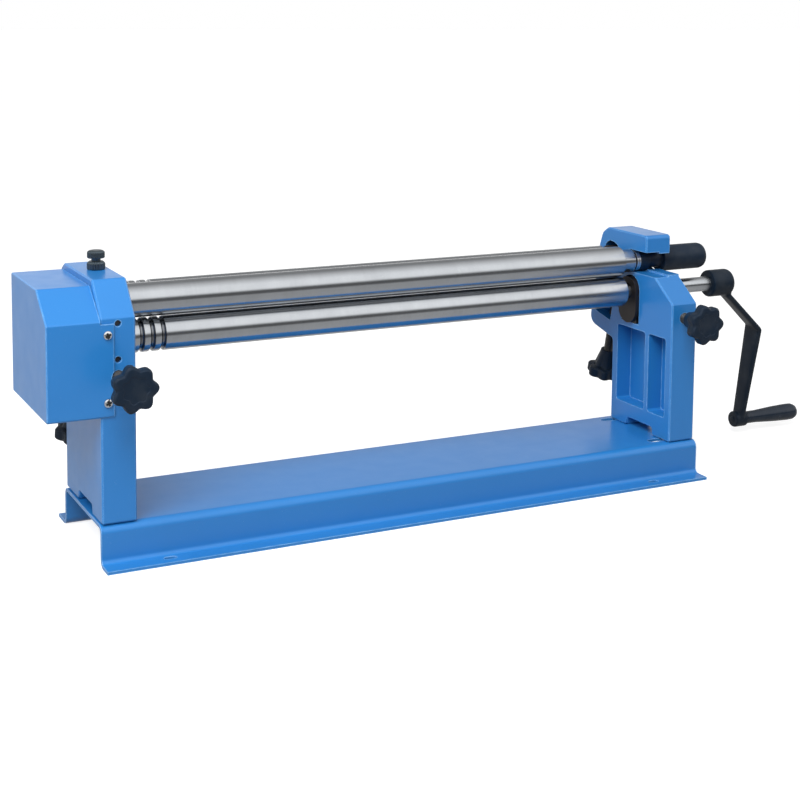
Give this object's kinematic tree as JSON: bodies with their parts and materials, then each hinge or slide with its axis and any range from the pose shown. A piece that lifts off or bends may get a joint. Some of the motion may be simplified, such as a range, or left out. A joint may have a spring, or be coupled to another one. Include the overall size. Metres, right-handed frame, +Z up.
{
  "type": "slip roll",
  "caption": "Hand-cranked bench slip roll: geared pinch rolls, a rear bending roll on inclined screws, a swing-out top roll, star-knob adjusters and a folded sheet base.",
  "frame": {"origin": "on the bench top, under the middle of the front foot of the base", "axes": "+X along the rolls from the gear end to the crank end, +Y from front to back, +Z up"},
  "size_m": [1.1993, 0.2877, 0.3522],
  "materials": {
    "blue_paint": "semi-gloss blue enamel on castings and bent sheet",
    "ground_steel": "ground and polished steel",
    "dark_steel": "dark oiled steel",
    "black_plastic": "satin black moulded plastic",
    "black_casting": "satin black enamel on a casting",
    "bronze": "dull bearing bronze",
    "brass": "turned brass"
  },
  "bodies": {
    "machine": {"base_plate": "blue_paint", "left_frame": "blue_paint", "right_frame": "blue_paint", "gear_cover": "blue_paint", "cover_screw_high": "ground_steel", "cover_screw_low": "ground_steel", "frame_bolt_1": "dark_steel", "frame_bolt_2": "dark_steel", "frame_bolt_3": "dark_steel", "frame_bolt_4": "dark_steel", "frame_set_screw_low": "dark_steel", "frame_set_screw_top": "dark_steel", "lock_collar": "black_plastic"},
    "lower_carriage": {"lower_block_left": "bronze", "lower_block_right": "bronze", "bearing_plate_left": "bronze", "bearing_plate_right": "bronze"},
    "shoe_left": {"lift_shoe_left": "ground_steel"},
    "shoe_right": {"lift_shoe_right": "ground_steel"},
    "front_adjuster_left": {"front_screw_left": "dark_steel", "front_knob_left": "black_plastic"},
    "front_adjuster_right": {"front_screw_right": "dark_steel", "front_knob_right": "black_plastic"},
    "crank": {"lower_roll": "ground_steel", "lower_gear": "ground_steel", "lower_gear_screw": "dark_steel", "crank_arm": "black_casting", "crank_set_screw": "ground_steel", "grip_spindle": "ground_steel"},
    "grip": {"crank_grip": "black_plastic"},
    "drive": {"top_gear": "ground_steel", "top_gear_screw": "dark_steel", "drive_sleeve": "ground_steel"},
    "swing": {"journal_bush": "black_plastic", "thrust_ring_1": "ground_steel", "thrust_ring_2": "ground_steel"},
    "upper_roll": {"top_roll": "ground_steel"},
    "release": {"release_sleeve": "black_plastic"},
    "rear_carriage": {"rear_block_left": "bronze", "rear_block_right": "bronze"},
    "rear_roller": {"rear_roll": "ground_steel"},
    "rear_adjuster_left": {"rear_screw_left": "dark_steel", "rear_knob_left": "black_plastic"},
    "rear_adjuster_right": {"rear_screw_right": "dark_steel", "rear_knob_right": "black_plastic"},
    "lock_foot": {"lock_pad": "brass"},
    "lock_thumb": {"lock_screw": "black_plastic"}
  },
  "joints": [
    {"name": "lower_roll_lift", "type": "slide", "parent": "machine", "child": "lower_carriage", "axis": [0, 0, 1], "range_m": [-0.003, 0.001]},
    {"name": "shoe_left_slide", "type": "slide", "parent": "machine", "child": "shoe_left", "axis": [0, 1, 0], "range_m": [-0.006, 0.002]},
    {"name": "shoe_right_slide", "type": "slide", "parent": "machine", "child": "shoe_right", "axis": [0, 1, 0], "range_m": [-0.006, 0.002]},
    {"name": "front_screw_left_turn", "type": "hinge", "parent": "shoe_left", "child": "front_adjuster_left", "pos_m": [-0.3976, -0.0253, 0.2215], "axis": [0, 1, 0], "range_deg": [-1080, 360]},
    {"name": "front_screw_right_turn", "type": "hinge", "parent": "shoe_right", "child": "front_adjuster_right", "pos_m": [0.3976, -0.0253, 0.2215], "axis": [0, 1, 0], "range_deg": [-1080, 360]},
    {"name": "crank_turn", "type": "hinge", "parent": "lower_carriage", "child": "crank", "pos_m": [0, 0.1167, 0.2447], "axis": [1, 0, 0], "continuous": true},
    {"name": "grip_spin", "type": "hinge", "parent": "crank", "child": "grip", "pos_m": [0.67, 0.15718, 0.02195], "axis": [1, 0, 0], "continuous": true},
    {"name": "top_gear_spin", "type": "hinge", "parent": "machine", "child": "drive", "pos_m": [-0.44, 0.1167, 0.2879], "axis": [1, 0, 0], "continuous": true},
    {"name": "top_roll_swing", "type": "hinge", "parent": "machine", "child": "swing", "pos_m": [-0.3945, 0.1167, 0.2879], "axis": [0, 0, -1], "range_deg": [0, 8]},
    {"name": "top_roll_spin", "type": "hinge", "parent": "swing", "child": "upper_roll", "pos_m": [-0.3945, 0.1167, 0.2879], "axis": [1, 0, 0], "continuous": true},
    {"name": "release_pull", "type": "slide", "parent": "swing", "child": "release", "axis": [1, 0, 0], "range_m": [0, 0.025]},
    {"name": "rear_roll_lift", "type": "slide", "parent": "machine", "child": "rear_carriage", "axis": [0, -0.2164, 0.9763], "range_m": [-0.0665, 0.007]},
    {"name": "rear_roll_spin", "type": "hinge", "parent": "rear_carriage", "child": "rear_roller", "pos_m": [0, 0.1667, 0.2815], "axis": [1, 0, 0], "continuous": true},
    {"name": "rear_screw_left_turn", "type": "hinge", "parent": "rear_carriage", "child": "rear_adjuster_left", "pos_m": [-0.3976, 0.1667, 0.2815], "axis": [0, -0.2164, 0.9763], "range_deg": [-11970, 1260]},
    {"name": "rear_screw_right_turn", "type": "hinge", "parent": "rear_carriage", "child": "rear_adjuster_right", "pos_m": [0.3976, 0.1667, 0.2815], "axis": [0, -0.2164, 0.9763], "range_deg": [-11970, 1260]},
    {"name": "lock_pad_lift", "type": "slide", "parent": "machine", "child": "lock_foot", "axis": [0, 0, 1], "range_m": [0, 0.002]},
    {"name": "lock_screw_turn", "type": "hinge", "parent": "lock_foot", "child": "lock_thumb", "pos_m": [-0.3945, 0.1167, 0.34], "axis": [0, 0, 1], "range_deg": [0, 480]}
  ],
  "couplings": [
    {"joint": "shoe_left_slide", "follows": "lower_roll_lift", "ratio": 2},
    {"joint": "shoe_right_slide", "follows": "lower_roll_lift", "ratio": 2},
    {"joint": "front_screw_left_turn", "follows": "lower_roll_lift", "rad_per_m": 6283.2},
    {"joint": "front_screw_right_turn", "follows": "lower_roll_lift", "rad_per_m": 6283.2},
    {"joint": "top_gear_spin", "follows": "crank_turn", "ratio": -1},
    {"joint": "top_roll_spin", "follows": "crank_turn", "ratio": -1},
    {"joint": "rear_screw_left_turn", "follows": "rear_roll_lift", "rad_per_m": 3141.6},
    {"joint": "rear_screw_right_turn", "follows": "rear_roll_lift", "rad_per_m": 3141.6},
    {"joint": "lock_screw_turn", "follows": "lock_pad_lift", "rad_per_m": 4188.8}
  ]
}
